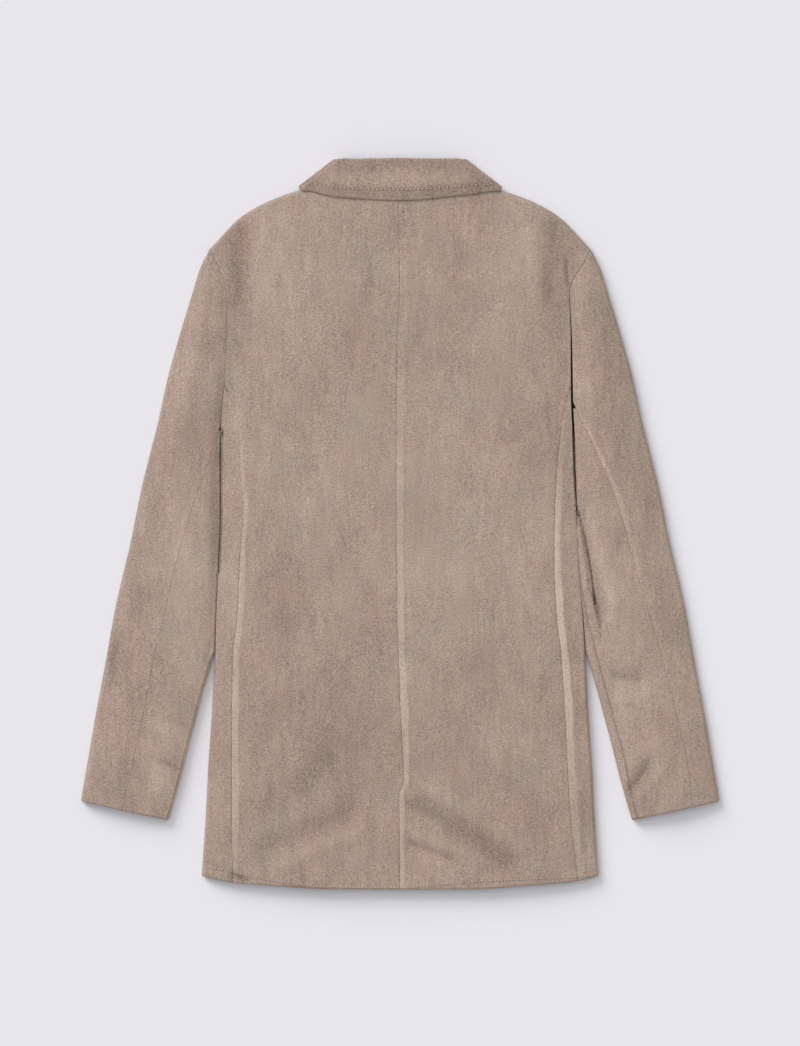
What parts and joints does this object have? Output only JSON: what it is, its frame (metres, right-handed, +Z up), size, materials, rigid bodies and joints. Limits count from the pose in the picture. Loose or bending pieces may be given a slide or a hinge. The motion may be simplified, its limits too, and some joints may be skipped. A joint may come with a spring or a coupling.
{
  "type": "suede jacket",
  "caption": "Plain suede jacket laid flat on its front: turned-down collar, centre-back and side-back seams, two-piece sleeves, open neck, hem and cuffs.",
  "frame": {"origin": "on the surface that the jacket lies on, under the middle of its outline", "axes": "+Y from hem to collar, +Z up off the surface out of the back, +X to the right seen from above"},
  "size_m": [0.6712, 0.7679, 0.0181],
  "materials": {
    "suede": "matte nap"
  },
  "bodies": {
    "root": {"back_left": "suede", "back_right": "suede", "side_left": "suede", "side_right": "suede", "front_left": "suede", "front_right": "suede", "sleeve_top_left": "suede", "sleeve_top_right": "suede", "sleeve_under_left": "suede", "sleeve_under_right": "suede", "collar_fall": "suede", "collar_stand": "suede"}
  },
  "joints": []
}
